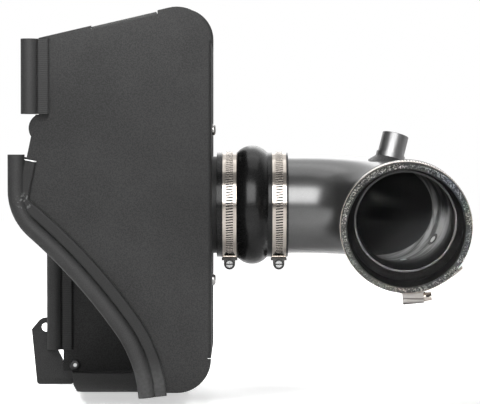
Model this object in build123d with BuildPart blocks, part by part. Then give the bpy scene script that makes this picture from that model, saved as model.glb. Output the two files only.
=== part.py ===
from build123d import *
from math import cos, pi, radians, sin, sqrt, tan
import os

os.makedirs("parts", exist_ok=True)

# A cold air intake: heat shield, cone filter, hump hose, bent tube and throttle coupler.
# Millimetres. X follows the inlet axis away from the shield, Y runs away from the viewer, Z is up.
# The origin is the centre of the coupler's mouth, where the throttle body goes in.

# Intake tube
tube_od = 88.9
tube_wall = 1.65
tube_inlet = 48.0
bend_start = 81.7
bend_radius = 88.9
bend_angle = 93.4
outlet_droop_angle = 6.0
outlet_straight = 24.6

# Throttle coupler
coupler_wall = 5.6
mouth_bore = 100.0
mouth_depth = 32.0
coupler_step = 13.0
coupler_grip = 24.0
mouth_rounding = 0.8

# Straight down, as an angle in an upright plane
down_angle = -90.0

# Clearances
slip = 0.05
band_slip = 0.12
sheet_slip = 0.15
hole_slip = 0.3
seat_gap = 0.2
adapter_hole_slip = 0.6
floor_clear = 0.75
bracket_clear = 1.25
cut_margin = 1.0

# Heat shield, measured from the outer face of its side wall and from the inlet axis
sheet = 1.5
bend_inside = 1.5
shield_depth = 180.0
shield_width = 151.5
wall_top = 145.0
wall_bottom_rise = 30.7
corner_radius = 30.0
top_slope_angle = 13.1
top_at_wall = 183.6
back_rise = 11.0
relief = 0.5

# Top tab, bent back from the front panel
tab_from_wall = 47.5
tab_width = 57.2
tab_depth = 18.0
tab_drop = 0.9

# Left edge of the front panel: a slanted run with an ear, then a corner and two long curves
edge_shoulder_out = 2.8
edge_start_height = 81.0
edge_slant_angle = -101.8
edge_run = 71.0
edge_corner_radius = 15.0
edge_corner_angle = 62.3
edge_sweep_radius = 510.0
edge_sweep_angle = 15.3
edge_end_radius = 127.0
edge_end_angle = 29.4
edge_lip = 1.3
ear_drop = 1.0
ear_length = 18.7
ear_reach = 3.8

# Back panel, and the floor bent forward from it
back_width = 144.5
floor_from_wall = 33.0
floor_back_inset = 8.6
floor_front_inset = 17.7
floor_taper_run = 62.0
floor_taper_in = 8.0
floor_corner = 8.0

# Edge seals: a U channel on the sheet's edge with a hollow bulb outside it
bulb_od = 15.0
bulb_wall = 2.0
bulb_sink = 0.8
channel_thick = 8.4
channel_grip = 9.3
channel_web = 1.7
channel_rounding = 2.2
upper_seal_top_gap = 0.8
upper_seal_bottom_gap = 0.5
lower_seal_start = 38.5
lower_seal_tail = 4.5
lower_bulb_top = 45.8
lower_bulb_radius = 47.0
lower_bulb_early_angle = 2.0
lower_web = 4.0
lower_cut_angle = 17.0
back_seal_top_gap = 21.0
back_seal_bottom_gap = 23.4

# Mounting bracket behind the back panel, measured from that panel's lower left corner
plate = 2.0
bracket_left_out = 31.5
bracket_top_rise = 42.1
bracket_knee_out = 6.9
bracket_knee_rise = 23.7
bracket_foot_in = 9.0
bracket_foot_drop = 7.2
bracket_heel_out = 26.2
bracket_drop = 11.1
bracket_corner = 3.0
foot_in = 23.7
foot_top_rise = 16.0
foot_step_rise = 10.5
foot_drop = 5.0
foot_round = 7.0
ear_angle = 18.0
ear_radius = 9.5
ear_hole = 9.0
ear_hole_along = 10.0
ear_hole_up = 10.3

# Fasteners
screw_d = 6.0
head_d = 10.5
head_h = 3.3
head_rounding = 2.3
socket_flats = 4.0
socket_depth = 1.8
nut_flats = 10.0
nut_h = 5.5
nut_hex_h = 3.9
nut_collar_d = 9.0
bracket_screw_in = 11.2
bracket_screw_rise = 8.4
adapter_screw_out = 24.5
screw_tail = 1.5

# Filter adapter
adapter_wall = 4.45
adapter_flange = 4.0
adapter_flange_rim = 11.5
adapter_ear_radius = 11.0
adapter_out = 25.0
adapter_in = 28.0
spigot_lip = 1.0

# Hump hose
hose_start = 4.3
hose_length = 65.0
hose_wall = 3.5
hump_start = 22.7
hump_width = 27.7
hump_height = 6.5
hump_foot_radius = 2.5

# Worm clamps
band_width = 12.7
band_thick = 0.7
slot_length = 6.4
slot_width = 1.2
slot_pitch = 2.5
slot_slant_angle = 6.0
slot_reach = 8.0
slot_start_angle = 30.0
slot_end_angle = 184.0
tail_back_angle = 11.0
tail_flat_angle = 24.0
tail_lift_angle = 25.0
short_tail_angle = 15.0
short_tail_lift_angle = 2.0
mouth_clamp_angle = 6.0
tail_ease_ratio = 1.9
housing_length = 18.0
housing_width = 14.4
housing_skirt = 1.4
housing_arch = 5.2
worm_r = 3.9
worm_lift = 4.6
worm_slip = 0.15
worm_collar_r = 4.3
worm_collar = 1.6
worm_hex_flats = 7.0
worm_hex = 5.0
worm_slot = 1.2
worm_slot_depth = 1.8
worm_end_gap = 0.4
adapter_clamp_at = 15.9
tube_clamp_at = 61.1
mouth_clamp_at = 12.6
sleeve_clamp_in = 12.0
filter_clamp_in = 9.0

# Vent nipple: a seat for a hose above a collar that is welded to the tube
nipple_od = 24.0
nipple_wall = 1.6
nipple_length = 26.0
nipple_seat = 18.5
nipple_collar_d = 26.4
nipple_rounding = 0.5
nipple_bend_angle = 50.0
nipple_right_angle = 14.5
nipple_back_angle = 8.1
weld_leg = 3.2
weld_sink = 6.4

# Mount bosses
boss_d = 15.0
boss_height = 9.0
boss_pilot_d = 10.0
boss_pilot_proud = 0.4
boss_thread_d = 5.0
boss_thread_depth = 9.0
boss_bend_angle = 72.0
boss_angles = (36.0, 82.0)

# Cone filter
neck_wall = 5.0
neck_gap = 4.0
neck_length = 21.0
filter_base_r = 65.0
filter_base_rim = 10.0
filter_tip_r = 51.0
media_length = 88.0
cap_length = 14.0
cap_rounding = 4.7
cap_overhang = 1.5
pleats = 40
pleat_depth = 7.0
media_thick = 8.0

# Points and directions worked out from the sizes above
half_depth = shield_depth / 2
bend_out = bend_inside + sheet
tube_r = tube_od / 2
coupler_free = coupler_step + mouth_depth
along = Vector(1, 0, 0)
toward = Vector(0, -cos(radians(outlet_droop_angle)), -sin(radians(outlet_droop_angle)))
over = along.cross(toward) * -1
heading = along * cos(radians(bend_angle)) + toward * sin(radians(bend_angle))
bend_centre = along * bend_start + toward * bend_radius
bend_end = bend_centre + (along * sin(radians(bend_angle)) - toward * cos(radians(bend_angle))) * bend_radius
tube_end = bend_end + heading * outlet_straight
mouth = tube_end + heading * coupler_free

# Where the inlet axis passes the outer face of the shield's side wall, seen from the coupler's mouth
wall = Vector(0, 0, 0) - mouth
inlet_axis = Axis(wall, along)
top_direction = (cos(radians(top_slope_angle)), sin(radians(top_slope_angle)))
shield_left = -shield_width
back_left = -back_width
tab_right = -tab_from_wall
tab_left = tab_right - tab_width
seal_stand = (bulb_od - sheet) / 2
adapter_screw_reach = tube_r + adapter_screw_out


def front_plane(depth):
    """Plane seen from the front: x right, y up, normal to the viewer."""
    return Plane(origin=wall + Vector(0, depth, 0), x_dir=(1, 0, 0), z_dir=(0, -1, 0))


def level_plane(height):
    """Plane seen from above: x right, y away from the viewer."""
    return Plane(origin=wall + Vector(0, 0, height), x_dir=(1, 0, 0), z_dir=(0, 0, 1))


def cross_plane(distance):
    """Plane square to the inlet axis: x away from the viewer, y up."""
    return Plane(origin=wall + Vector(distance, 0, 0), x_dir=(0, 1, 0), z_dir=(1, 0, 0))


def bend_point(angle):
    """Centre of the tube at an angle round its bend, with the direction away from the bend's centre."""
    outward = along * sin(radians(angle)) - toward * cos(radians(angle))
    return wall + bend_centre + outward * bend_radius, outward


edge_shoulder = shield_left - edge_shoulder_out
edge_start = (edge_shoulder, edge_start_height)
edge_slant = (cos(radians(edge_slant_angle)), sin(radians(edge_slant_angle)))


def left_edge(start, run):
    """Draw the front panel's left edge downward in the current BuildLine and return its last curve."""
    slant = Line(start, (start[0] + run * edge_slant[0], start[1] + run * edge_slant[1]))
    corner = JernArc(slant @ 1, slant % 1, edge_corner_radius, edge_corner_angle)
    sweep_curve = JernArc(corner @ 1, corner % 1, edge_sweep_radius, -edge_sweep_angle)
    return JernArc(sweep_curve @ 1, sweep_curve % 1, edge_end_radius, -edge_end_angle)


def top_height(x, rise):
    """Height of the panels' slanted top edge at a place along it."""
    return top_at_wall + rise + x * tan(radians(top_slope_angle))


# The shield's bottom is a lip below the end of that edge, and what hangs on its lower corner follows
with BuildLine():
    edge_foot = left_edge(edge_start, edge_run) @ 1
shield_bottom = edge_foot.Y - edge_lip
wall_bottom = shield_bottom + wall_bottom_rise
upper_seal_top = top_height(shield_left, -upper_seal_top_gap)
upper_seal_bottom = edge_start_height + upper_seal_bottom_gap
back_seal_top = top_height(back_left, back_rise - back_seal_top_gap)
back_seal_bottom = shield_bottom + back_seal_bottom_gap
bracket_screw_x = back_left + bracket_screw_in
bracket_screw_z = shield_bottom + bracket_screw_rise


def button_screw(plane, grip):
    """Button-head screw whose head stands on the plane and whose shank runs back through the grip."""
    with BuildPart() as screw:
        with BuildSketch(plane):
            Circle(head_d / 2)
        extrude(amount=head_h)
        crown = screw.faces().sort_by(Axis(plane.origin, plane.z_dir))[-1]
        fillet(crown.edges(), radius=head_rounding)
        with BuildSketch(plane.offset(head_h)):
            RegularPolygon(socket_flats / 2, 6, major_radius=False)
        extrude(amount=-socket_depth, mode=Mode.SUBTRACT)
        with BuildSketch(plane):
            Circle(screw_d / 2)
        extrude(amount=-grip)
    return screw.part


def lock_nut(plane):
    """Hexagon nut with a round collar, standing on the plane."""
    with BuildPart() as nut:
        with BuildSketch(plane):
            RegularPolygon(nut_flats / 2, 6, major_radius=False)
        extrude(amount=nut_hex_h)
        with BuildSketch(plane):
            Circle(nut_collar_d / 2)
        extrude(amount=nut_h)
        with BuildSketch(plane):
            Circle(screw_d / 2 + slip)
        extrude(amount=nut_h, mode=Mode.SUBTRACT)
    return nut.part


# Heat shield: one sheet folded round three sides, with a floor and a tab at the top
with BuildPart() as heat_shield:
    # Front panel
    with BuildSketch(front_plane(-half_depth)):
        with BuildLine():
            left_edge(edge_start, edge_run)
            Polyline(
                edge_foot,
                (edge_foot.X, shield_bottom),
                (0, shield_bottom),
                (0, top_height(0, 0)),
                (shield_left, top_height(shield_left, 0)),
                (shield_left, edge_start_height),
                edge_start,
            )
        make_face()
        with BuildLine():
            ear_high = PolarLine(edge_start, ear_drop, edge_slant_angle, mode=Mode.PRIVATE) @ 1
            ear_low = PolarLine(ear_high, ear_length, edge_slant_angle, mode=Mode.PRIVATE) @ 1
            SagittaArc(ear_high, ear_low, -ear_reach)
            Line(ear_low, ear_high)
        make_face()
        fillet(vertices().group_by(Axis.X)[-1], radius=corner_radius)
        with Locations((0, (wall_top + wall_bottom) / 2)):
            Rectangle(2 * bend_out, wall_top - wall_bottom + 2 * relief, mode=Mode.SUBTRACT)
        with BuildLine():
            Polyline(
                (tab_left - relief, top_height(tab_left - relief, cut_margin)),
                (tab_left - relief, top_height(tab_left - relief, -tab_drop - bend_out)),
                (tab_right + relief, top_height(tab_right + relief, -tab_drop - bend_out)),
                (tab_right + relief, top_height(tab_right + relief, cut_margin)),
                close=True,
            )
        make_face(mode=Mode.SUBTRACT)
    extrude(amount=-sheet)
    # Side wall with its two bends
    with BuildSketch(level_plane(wall_bottom)):
        with BuildLine():
            outside_a = JernArc((-bend_out, -half_depth), (1, 0), bend_out, 90)
            outside = Line(outside_a @ 1, (0, half_depth - bend_out))
            outside_b = JernArc(outside @ 1, (0, 1), bend_out, 90)
            Line(outside_b @ 1, (-bend_out, half_depth - sheet))
            inside_b = JernArc((-bend_out, half_depth - sheet), (1, 0), bend_inside, -90)
            inside = Line(inside_b @ 1, (-sheet, bend_out - half_depth))
            inside_a = JernArc(inside @ 1, (0, -1), bend_inside, -90)
            Line(inside_a @ 1, outside_a @ 0)
        make_face()
    extrude(amount=wall_top - wall_bottom)
    # Back panel, a little taller
    with BuildSketch(front_plane(half_depth)):
        with BuildLine():
            Polyline(
                (back_left, shield_bottom + bend_out),
                (0, shield_bottom + bend_out),
                (0, top_height(0, back_rise)),
                (back_left, top_height(back_left, back_rise)),
                close=True,
            )
        make_face()
        fillet(vertices().group_by(Axis.X)[-1], radius=corner_radius)
        with Locations((0, (wall_top + wall_bottom) / 2)):
            Rectangle(2 * bend_out, wall_top - wall_bottom + 2 * relief, mode=Mode.SUBTRACT)
        with Locations((bracket_screw_x, bracket_screw_z)):
            Circle(screw_d / 2 + hole_slip, mode=Mode.SUBTRACT)
    extrude(amount=sheet)
    # Floor, bent forward from the back panel
    floor_left = back_left + floor_back_inset
    floor_front = sheet + seal_stand + floor_clear - half_depth
    with BuildSketch(cross_plane(floor_left)):
        with BuildLine():
            low = JernArc((half_depth, shield_bottom + bend_out), (0, -1), bend_out, -90)
            Line(low @ 1, (half_depth - bend_out, shield_bottom + sheet))
            high = JernArc((half_depth - bend_out, shield_bottom + sheet), (1, 0), bend_inside, 90)
            Line(high @ 1, low @ 0)
        make_face()
    extrude(amount=-floor_from_wall - floor_left)
    with BuildSketch(level_plane(shield_bottom)):
        with BuildLine():
            Polyline(
                (floor_left, half_depth - bend_out),
                (back_left + floor_front_inset, floor_front + floor_taper_run),
                (back_left + floor_front_inset + floor_taper_in, floor_front),
                (-floor_from_wall, floor_front),
                (-floor_from_wall, half_depth - bend_out),
                close=True,
            )
        make_face()
        fillet(vertices().group_by(Axis.Y)[0].sort_by(Axis.X)[0], radius=floor_corner)
    extrude(amount=sheet)
    # Top tab, bent back from the front panel
    tab_plane = Plane(
        origin=wall + Vector(tab_left, -half_depth, top_height(tab_left, -tab_drop - bend_out)),
        x_dir=(0, 1, 0),
        z_dir=(top_direction[0], 0, top_direction[1]),
    )
    bend_rise = bend_out * cos(radians(top_slope_angle))
    with BuildSketch(tab_plane):
        with BuildLine():
            rise = Line((0, -sheet), (0, 0))
            over_bend = JernArc((0, 0), (0, 1), bend_rise, -90)
            tab_top = Line(over_bend @ 1, (tab_depth, bend_rise))
            tab_end = Line(tab_top @ 1, (tab_depth, bend_rise - sheet))
            tab_under = Line(tab_end @ 1, (bend_rise, bend_rise - sheet))
            under_bend = JernArc(tab_under @ 1, (-1, 0), bend_rise - sheet, 90)
            Polyline(under_bend @ 1, (sheet, -sheet), (0, -sheet))
        make_face()
    extrude(amount=tab_width / cos(radians(top_slope_angle)))
    # Openings in the side wall
    with BuildSketch(cross_plane(0)):
        Circle(tube_r + adapter_hole_slip)
        with Locations((0, adapter_screw_reach), (0, -adapter_screw_reach)):
            Circle(screw_d / 2 + hole_slip)
    extrude(amount=-sheet, mode=Mode.SUBTRACT)
heat_shield.part.label = "heat_shield"
export_step(heat_shield.part, "parts/heat_shield.step")


def seal_section(plane):
    """Sketch of an edge seal on a plane at the sheet's edge: x out of the sheet, y across it."""
    with BuildSketch(plane) as section:
        with Locations(((channel_web - channel_grip) / 2, 0)):
            RectangleRounded(channel_grip + channel_web, channel_thick, channel_rounding)
        with Locations((channel_web + bulb_od / 2 - bulb_sink, 0)):
            Circle(bulb_od / 2)
            Circle(bulb_od / 2 - bulb_wall, mode=Mode.SUBTRACT)
        with Locations(((seat_gap - channel_grip) / 2, 0)):
            Rectangle(channel_grip + seat_gap, sheet + 2 * sheet_slip, mode=Mode.SUBTRACT)
    return section.sketch


front_middle = -half_depth + sheet / 2
back_middle = half_depth - sheet / 2

with BuildPart() as upper_edge_seal:
    upper_seal_plane = Plane(
        origin=wall + Vector(shield_left, front_middle, upper_seal_bottom),
        x_dir=(-1, 0, 0),
        z_dir=(0, 0, 1),
    )
    add(seal_section(upper_seal_plane))
    extrude(amount=upper_seal_top - upper_seal_bottom)
upper_edge_seal.part.label = "upper_edge_seal"
export_step(upper_edge_seal.part, "parts/upper_edge_seal.step")

with BuildPart() as back_edge_seal:
    back_seal_plane = Plane(
        origin=wall + Vector(back_left, back_middle, back_seal_bottom),
        x_dir=(-1, 0, 0),
        z_dir=(0, 0, 1),
    )
    add(seal_section(back_seal_plane))
    extrude(amount=back_seal_top - back_seal_bottom)
back_edge_seal.part.label = "back_edge_seal"
export_step(back_edge_seal.part, "parts/back_edge_seal.step")

# Lower seal: its channel follows the panel's edge; its bulb takes the corner wider and ends upright
lower_start = (
    edge_shoulder + lower_seal_start * edge_slant[0],
    edge_start_height + lower_seal_start * edge_slant[1],
)
bulb_centre = channel_web + bulb_od / 2 - bulb_sink
lower_sheet = front_plane(front_middle)
with BuildLine(lower_sheet) as lower_path:
    last_curve = left_edge(lower_start, edge_run - lower_seal_start)
    lower_tail = PolarLine(last_curve @ 1, lower_seal_tail, direction=last_curve % 1)
tail_way = lower_tail % 1
bulb_foot = (lower_tail @ 1) + tail_way.cross(lower_sheet.z_dir) * bulb_centre
with BuildLine(lower_sheet) as bulb_path:
    bulb_tail = PolarLine(bulb_foot, lower_seal_tail, direction=tail_way * -1)
    bulb_end = JernArc(bulb_tail @ 1, bulb_tail % 1, edge_end_radius - bulb_centre, edge_end_angle)
    bulb_sweep_angle = edge_sweep_angle - lower_bulb_early_angle
    bulb_run = JernArc(bulb_end @ 1, bulb_end % 1, edge_sweep_radius - bulb_centre, bulb_sweep_angle)
    bulb_turn = edge_slant_angle + edge_corner_angle - lower_bulb_early_angle - down_angle
    bulb_corner = JernArc(bulb_run @ 1, bulb_run % 1, lower_bulb_radius, -bulb_turn)
    corner_out = lower_sheet.to_local_coords(bulb_corner @ 1)
    Line(bulb_corner @ 1, (corner_out.X, lower_bulb_top))
lower_seal_plane = Plane(
    origin=wall + Vector(lower_start[0], front_middle, lower_start[1]),
    x_dir=(edge_slant[1], 0, -edge_slant[0]),
    z_dir=(edge_slant[0], 0, edge_slant[1]),
)
lower_cut_plane = Plane(
    origin=lower_seal_plane.origin + Vector(0, channel_thick / 2, 0),
    z_dir=lower_seal_plane.z_dir * -cos(radians(lower_cut_angle)) - Vector(0, sin(radians(lower_cut_angle)), 0),
)
bulb_plane = Plane(origin=bulb_path.wires()[0] @ 0, z_dir=bulb_path.wires()[0] % 0)

with BuildPart() as lower_edge_seal:
    with BuildSketch(lower_seal_plane):
        with Locations(((channel_web - channel_grip) / 2, 0)):
            RectangleRounded(channel_grip + channel_web, channel_thick, channel_rounding)
    sweep(path=lower_path.wires()[0])
    split(bisect_by=lower_cut_plane, keep=Keep.BOTTOM)
    with BuildSketch(bulb_plane):
        Circle(bulb_od / 2)
    sweep(path=bulb_path.wires()[0])
    with BuildSketch(lower_sheet):
        with BuildLine():
            Polyline(
                (corner_out.X, lower_bulb_top),
                lower_start,
                (
                    edge_shoulder + edge_run * edge_slant[0],
                    edge_start_height + edge_run * edge_slant[1],
                ),
                (corner_out.X, corner_out.Y),
                close=True,
            )
        make_face()
    extrude(amount=lower_web / 2, both=True)
    with BuildSketch(bulb_plane):
        Circle(bulb_od / 2 - bulb_wall)
    sweep(path=bulb_path.wires()[0], mode=Mode.SUBTRACT)
    with BuildSketch(lower_seal_plane):
        with Locations(((seat_gap - channel_grip) / 2, 0)):
            Rectangle(channel_grip + seat_gap, sheet + 2 * sheet_slip)
    sweep(path=lower_path.wires()[0], mode=Mode.SUBTRACT)
lower_edge_seal.part.label = "lower_edge_seal"
export_step(lower_edge_seal.part, "parts/lower_edge_seal.step")

# Mounting bracket: a foot on the back panel, a step out from it, a plate and an ear bent back
bracket_step = seal_stand + bracket_clear
bracket_face = half_depth + bracket_step
bracket_left = back_left - bracket_left_out
bracket_top = shield_bottom + bracket_top_rise
bracket_knee_x = back_left - bracket_knee_out
bracket_knee_z = shield_bottom + bracket_knee_rise
bracket_foot_x = back_left + bracket_foot_in
bracket_foot_z = shield_bottom - bracket_foot_drop
bracket_bottom = shield_bottom - bracket_drop
foot_right = back_left + foot_in
foot_top = shield_bottom + foot_top_rise
foot_step = shield_bottom + foot_step_rise
foot_bottom = shield_bottom - foot_drop
knee_x = bracket_foot_x - bracket_knee_x
knee_z = bracket_foot_z - bracket_knee_z
knee_length = sqrt(knee_x**2 + knee_z**2)
step_top = (bracket_knee_x + knee_x * (foot_step - bracket_knee_z) / knee_z, foot_step)
step_low = (bracket_knee_x + knee_x * (foot_bottom - bracket_knee_z) / knee_z, foot_bottom)
step_out = (plate * -knee_z / knee_length, plate * knee_x / knee_length)
fold_x = bracket_knee_x - bracket_left
fold_z = bracket_knee_z - bracket_top
fold_length = sqrt(fold_x**2 + fold_z**2)
fold_along = Vector(fold_x / fold_length, 0, fold_z / fold_length)
fold_up = Vector(-fold_z / fold_length, 0, fold_x / fold_length)
ear_up = fold_up * cos(radians(ear_angle)) + Vector(0, 1, 0) * sin(radians(ear_angle))
ear_plane = Plane(
    origin=wall + Vector(bracket_left, bracket_face, bracket_top),
    x_dir=fold_along,
    z_dir=fold_along.cross(ear_up),
)

with BuildPart() as mounting_bracket:
    with BuildSketch(front_plane(bracket_face)):
        with BuildLine():
            Polyline(
                (bracket_left, bracket_top),
                (bracket_knee_x, bracket_knee_z),
                (bracket_foot_x, bracket_foot_z),
                (bracket_foot_x, bracket_bottom),
                (back_left - bracket_heel_out, bracket_bottom),
                close=True,
            )
        make_face()
        fillet(vertices().group_by(Axis.Y)[0], radius=bracket_corner)
    extrude(amount=-plate)
    with BuildSketch(front_plane(half_depth)):
        with BuildLine():
            Polyline(
                step_top,
                (bracket_screw_x - foot_round, foot_top),
                (foot_right, foot_top),
                (foot_right, foot_bottom),
                step_low,
                close=True,
            )
        make_face()
        fillet(vertices().group_by(Axis.X)[-1], radius=foot_round)
        with Locations((bracket_screw_x, bracket_screw_z)):
            Circle(screw_d / 2 + hole_slip, mode=Mode.SUBTRACT)
    extrude(amount=-plate)
    with BuildSketch(front_plane(half_depth)):
        with BuildLine():
            Polyline(
                step_top,
                step_low,
                (step_low[0] - step_out[0], step_low[1] - step_out[1]),
                (step_top[0] - step_out[0], step_top[1] - step_out[1]),
                close=True,
            )
        make_face()
    extrude(amount=-bracket_step - plate)
    with BuildSketch(ear_plane):
        with BuildLine():
            Polyline(
                (0, 0),
                (fold_length, 0),
                (ear_hole_along + ear_radius, ear_hole_up),
                (ear_hole_along - ear_radius, ear_hole_up),
                close=True,
            )
        make_face()
        with Locations((ear_hole_along, ear_hole_up)):
            Circle(ear_radius)
            Circle(ear_hole / 2, mode=Mode.SUBTRACT)
    extrude(amount=-plate)
mounting_bracket.part.label = "mounting_bracket"
export_step(mounting_bracket.part, "parts/mounting_bracket.step")

bracket_screw_plane = Plane(
    origin=wall + Vector(bracket_screw_x, half_depth - sheet, bracket_screw_z),
    x_dir=(1, 0, 0),
    z_dir=(0, -1, 0),
)
with BuildPart() as bracket_screw:
    add(button_screw(bracket_screw_plane, sheet + plate + nut_h + screw_tail))
bracket_screw.part.label = "bracket_screw"
export_step(bracket_screw.part, "parts/bracket_screw.step")

bracket_nut_plane = Plane(
    origin=wall + Vector(bracket_screw_x, half_depth + plate, bracket_screw_z),
    x_dir=(1, 0, 0),
    z_dir=(0, 1, 0),
)
with BuildPart() as bracket_nut:
    add(lock_nut(bracket_nut_plane))
bracket_nut.part.label = "bracket_nut"
export_step(bracket_nut.part, "parts/bracket_nut.step")

# Filter adapter: a flange inside the side wall with a spigot on each side
flange_face = -sheet - adapter_flange
with BuildPart() as filter_adapter:
    with BuildSketch(cross_plane(-sheet)):
        Circle(tube_r + adapter_flange_rim)
        with Locations((0, adapter_screw_reach), (0, -adapter_screw_reach)):
            Circle(adapter_ear_radius)
        Rectangle(2 * adapter_ear_radius, 2 * adapter_screw_reach)
        with Locations((0, adapter_screw_reach), (0, -adapter_screw_reach)):
            Circle(screw_d / 2 + hole_slip, mode=Mode.SUBTRACT)
    extrude(amount=-adapter_flange)
    with BuildSketch(cross_plane(adapter_out)):
        Circle(tube_r)
    extrude(amount=flange_face - adapter_in - adapter_out)
    with BuildSketch(cross_plane(adapter_out)):
        Circle(tube_r - adapter_wall)
    extrude(amount=flange_face - adapter_in - adapter_out, mode=Mode.SUBTRACT)
    ends = filter_adapter.faces().sort_by(Axis.X)
    chamfer(ends[0].edges() + ends[-1].edges(), length=spigot_lip)
filter_adapter.part.label = "filter_adapter"
export_step(filter_adapter.part, "parts/filter_adapter.step")

with BuildPart() as adapter_screws:
    for side in (1, -1):
        screw_plane = cross_plane(0).shift_origin(wall + Vector(0, 0, side * adapter_screw_reach))
        add(button_screw(screw_plane, sheet + adapter_flange + nut_h + screw_tail))
adapter_screws.part.label = "adapter_screws"
export_step(adapter_screws.part, "parts/adapter_screws.step")

with BuildPart() as adapter_nuts:
    for side in (1, -1):
        nut_origin = wall + Vector(flange_face, 0, side * adapter_screw_reach)
        add(lock_nut(Plane(origin=nut_origin, x_dir=(0, 1, 0), z_dir=(-1, 0, 0))))
adapter_nuts.part.label = "adapter_nuts"
export_step(adapter_nuts.part, "parts/adapter_nuts.step")

# Hump hose, turned from one profile of constant wall
hose_bore_r = tube_r + slip
hose_r = hose_bore_r + hose_wall
hose_end = hose_start + hose_length
hump_end = hump_start + hump_width
hump_middle = hump_start + hump_width / 2


def hose_line(radius, margin):
    """Outline of the hose at a radius, with a round hump whose feet are set in by a margin."""
    hump = ThreePointArc(
        (hump_start + margin, radius),
        (hump_middle, radius + hump_height),
        (hump_end - margin, radius),
    )
    Line((hose_start, radius), hump @ 0)
    Line(hump @ 1, (hose_end, radius))


with BuildPart() as hump_hose:
    with BuildSketch(front_plane(0)):
        with BuildLine():
            hose_line(hose_r, 0)
            hose_line(hose_bore_r, hose_wall)
            Line((hose_start, hose_r), (hose_start, hose_bore_r))
            Line((hose_end, hose_r), (hose_end, hose_bore_r))
        make_face()
        feet = vertices().filter_by_position(Axis.X, hump_start, hump_end).group_by(Axis.Y)
        fillet(feet[-1], radius=hump_foot_radius)
        fillet(feet[0], radius=hump_foot_radius + hose_wall)
    revolve(axis=inlet_axis)
hump_hose.part.label = "hump_hose"
export_step(hump_hose.part, "parts/hump_hose.step")

# Intake tube, swept along its bend, with holes for the nipple and the boss pilots
tube_plane = Plane(origin=wall, x_dir=along, z_dir=along.cross(toward))


def tube_path():
    """Draw the tube's centre line in the current BuildLine."""
    inlet = Line((tube_inlet, 0), (bend_start, 0))
    bend = JernArc(inlet @ 1, (1, 0), bend_radius, bend_angle)
    PolarLine(bend @ 1, outlet_straight, direction=bend % 1)


def tube_core():
    """Solid the size of the tube's outside, for shaping what sits on it."""
    with BuildPart() as core:
        with BuildLine(tube_plane) as core_line:
            tube_path()
        with BuildSketch(cross_plane(tube_inlet)):
            Circle(tube_r)
        sweep(path=core_line.wires()[0])
    return core.part


nipple_at, nipple_outward = bend_point(nipple_bend_angle)
nipple_up = Vector(tan(radians(nipple_right_angle)), tan(radians(nipple_back_angle)), 1).normalized()
nipple_plane = Plane(origin=nipple_at, x_dir=(0, -1, 0), z_dir=nipple_up)
boss_at, boss_outward = bend_point(boss_bend_angle)
boss_planes = [
    Plane(
        origin=boss_at,
        z_dir=boss_outward * cos(radians(angle)) - over * sin(radians(angle)),
    )
    for angle in boss_angles
]

with BuildPart() as intake_tube:
    with BuildLine(tube_plane) as tube_line:
        tube_path()
    with BuildSketch(cross_plane(tube_inlet)):
        Circle(tube_r)
        Circle(tube_r - tube_wall, mode=Mode.SUBTRACT)
    sweep(path=tube_line.wires()[0])
    with BuildSketch(nipple_plane):
        Circle(nipple_od / 2 - nipple_wall)
    extrude(amount=tube_od, mode=Mode.SUBTRACT)
    for plane in boss_planes:
        with BuildSketch(plane):
            Circle(boss_pilot_d / 2 + slip)
        extrude(amount=tube_od, mode=Mode.SUBTRACT)
intake_tube.part.label = "intake_tube"
export_step(intake_tube.part, "parts/intake_tube.step")

# Vent nipple and its weld bead, both cut to the tube's outside
root_r = nipple_collar_d / 2
with BuildPart() as vent_nipple:
    with BuildSketch(nipple_plane):
        Circle(root_r)
    extrude(amount=tube_r + nipple_length - nipple_seat)
    with BuildSketch(nipple_plane.offset(tube_r + nipple_length)):
        Circle(nipple_od / 2)
    extrude(amount=-nipple_seat)
    add(tube_core(), mode=Mode.SUBTRACT)
    with BuildSketch(nipple_plane):
        Circle(nipple_od / 2 - nipple_wall)
    extrude(amount=tube_r + nipple_length, mode=Mode.SUBTRACT)
    rim = vent_nipple.faces().sort_by(Axis(nipple_plane.origin, nipple_plane.z_dir))[-1]
    fillet(rim.edges(), radius=nipple_rounding)
vent_nipple.part.label = "vent_nipple"
export_step(vent_nipple.part, "parts/vent_nipple.step")

with BuildPart() as vent_weld:
    with BuildSketch(nipple_plane.offset(tube_r - weld_sink)):
        Circle(root_r + weld_leg + weld_sink)
    with BuildSketch(nipple_plane.offset(tube_r + weld_leg)):
        Circle(root_r)
    loft()
    add(tube_core(), mode=Mode.SUBTRACT)
    with BuildSketch(nipple_plane):
        Circle(root_r)
    extrude(amount=tube_od, mode=Mode.SUBTRACT)
vent_weld.part.label = "vent_weld"
export_step(vent_weld.part, "parts/vent_weld.step")

# Mount bosses: collars on the tube with pilots through its wall and blind threads from outside
with BuildPart() as mount_bosses:
    for plane in boss_planes:
        with BuildSketch(plane):
            Circle(boss_d / 2)
        extrude(amount=tube_r + boss_height)
    add(tube_core(), mode=Mode.SUBTRACT)
    for plane in boss_planes:
        with BuildSketch(plane.offset(tube_r - tube_wall - boss_pilot_proud)):
            Circle(boss_pilot_d / 2)
        extrude(amount=boss_height)
        with BuildSketch(plane.offset(tube_r + boss_height)):
            Circle(boss_thread_d / 2)
        extrude(amount=-boss_thread_depth, mode=Mode.SUBTRACT)
mount_bosses.part.label = "mount_bosses"
export_step(mount_bosses.part, "parts/mount_bosses.step")

# Throttle coupler, turned from one stepped profile
coupler_length = coupler_free + coupler_grip
grip_bore_r = tube_r + slip
outlet_axis = Axis((0, 0, 0), heading)
coupler_plane = Plane(origin=(0, 0, 0), x_dir=heading * -1, z_dir=over.cross(heading) * -1)
mouth_r = mouth_bore / 2
step_end = mouth_depth + coupler_step

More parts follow.
